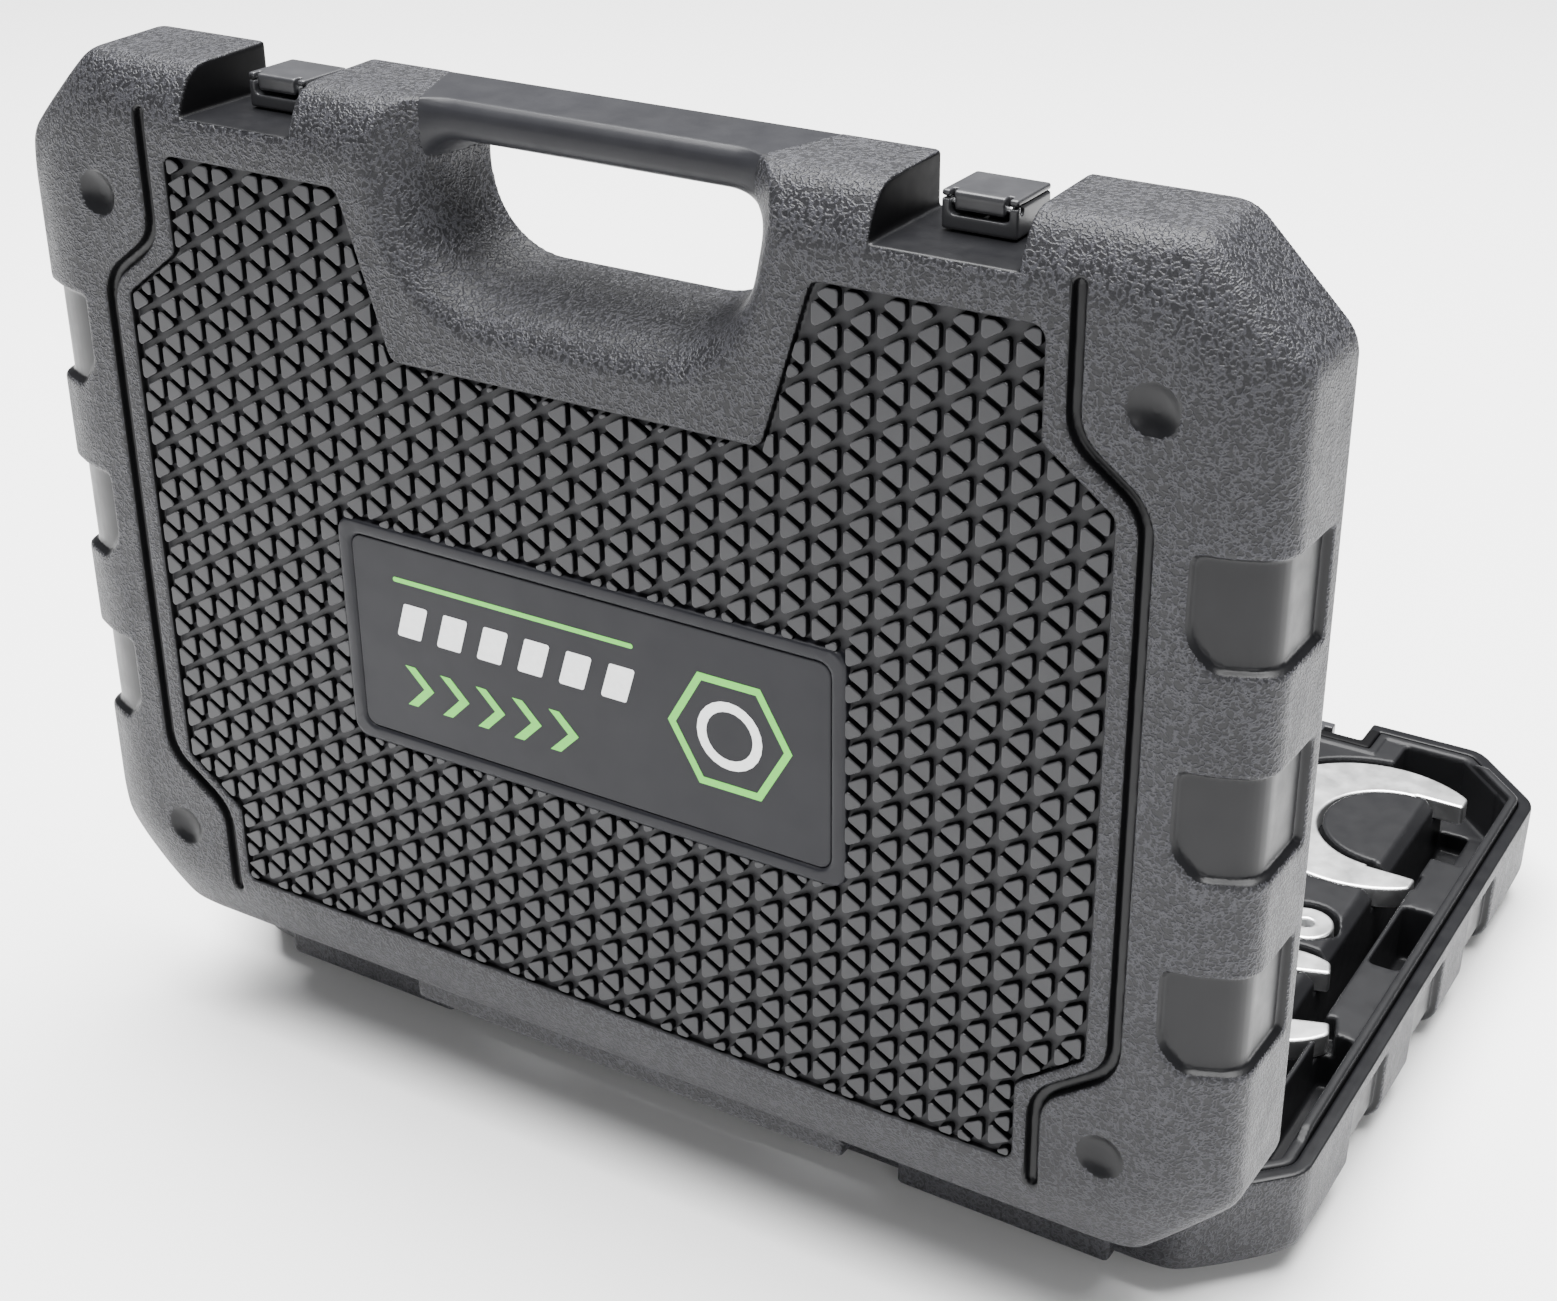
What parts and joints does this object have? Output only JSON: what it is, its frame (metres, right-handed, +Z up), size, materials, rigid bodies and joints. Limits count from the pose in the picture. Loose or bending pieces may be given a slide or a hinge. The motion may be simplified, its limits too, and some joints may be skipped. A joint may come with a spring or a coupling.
{
  "type": "hard tool case",
  "caption": "Dark hard plastic tool case, standing open, with a square-hinged lid, carrying handle, sliding latches, ribbed outer face and a fitted tray of open-end wrenches.",
  "frame": {"origin": "middle of the flat face that the base rests on", "axes": "+X along the width, +Y from the hinge to the front of the base, +Z up"},
  "size_m": [0.402, 0.331, 0.331],
  "materials": {
    "case": "leather-grained moulded plastic",
    "inner_skin": "fine matt moulded plastic",
    "smooth": "smooth satin moulded plastic",
    "label": "smooth satin with a printed pattern",
    "latch": "smooth semi-gloss moulded plastic",
    "pin": "drawn steel rod",
    "tool": "satin chrome plate"
  },
  "bodies": {
    "base": {"base_shell": "case", "base_tray": "inner_skin", "base_handle": "smooth", "hinge_pin_left": "pin", "hinge_pin_right": "pin", "keeper_left": "latch", "keeper_right": "latch"},
    "lid": {"lid_shell": "case", "lid_liner": "inner_skin", "lid_handle": "smooth", "label_panel": "label", "latch_guide_left": "latch", "latch_guide_right": "latch"},
    "latch_left": {"latch_slider_left": "latch"},
    "latch_right": {"latch_slider_right": "latch"},
    "cover_left": {"latch_cover_left": "latch", "latch_pin_left": "pin"},
    "cover_right": {"latch_cover_right": "latch", "latch_pin_right": "pin"},
    "wrench_large": {"wrench_large": "tool"},
    "wrench_medium": {"wrench_medium": "tool"},
    "wrench_small": {"wrench_small": "tool"}
  },
  "joints": [
    {"name": "lid_hinge", "type": "hinge", "parent": "base", "child": "lid", "pos_m": [0, -0.147, 0.038], "axis": [1, 0, 0], "range_deg": [-90, 0]},
    {"name": "latch_slide_left", "type": "slide", "parent": "lid", "child": "latch_left", "axis": [0, 1, 0], "range_m": [0, 0.01]},
    {"name": "latch_cover_hinge_left", "type": "hinge", "parent": "latch_left", "child": "cover_left", "pos_m": [-0.1105, -0.1633, 0.3239], "axis": [1, 0, 0], "range_deg": [0, 12], "stiffness_Nm_per_rad": 0.002, "springref_deg": -17.19},
    {"name": "latch_slide_right", "type": "slide", "parent": "lid", "child": "latch_right", "axis": [0, 1, 0], "range_m": [0, 0.01]},
    {"name": "latch_cover_hinge_right", "type": "hinge", "parent": "latch_right", "child": "cover_right", "pos_m": [0.1105, -0.1633, 0.3239], "axis": [1, 0, 0], "range_deg": [0, 12], "stiffness_Nm_per_rad": 0.002, "springref_deg": -17.19},
    {"name": "wrench_large_lift", "type": "slide", "parent": "base", "child": "wrench_large", "axis": [0, 0, 1], "range_m": [0, 0.04]},
    {"name": "wrench_medium_lift", "type": "slide", "parent": "base", "child": "wrench_medium", "axis": [0, 0, 1], "range_m": [0, 0.04]},
    {"name": "wrench_small_lift", "type": "slide", "parent": "base", "child": "wrench_small", "axis": [0, 0, 1], "range_m": [0, 0.04]}
  ]
}
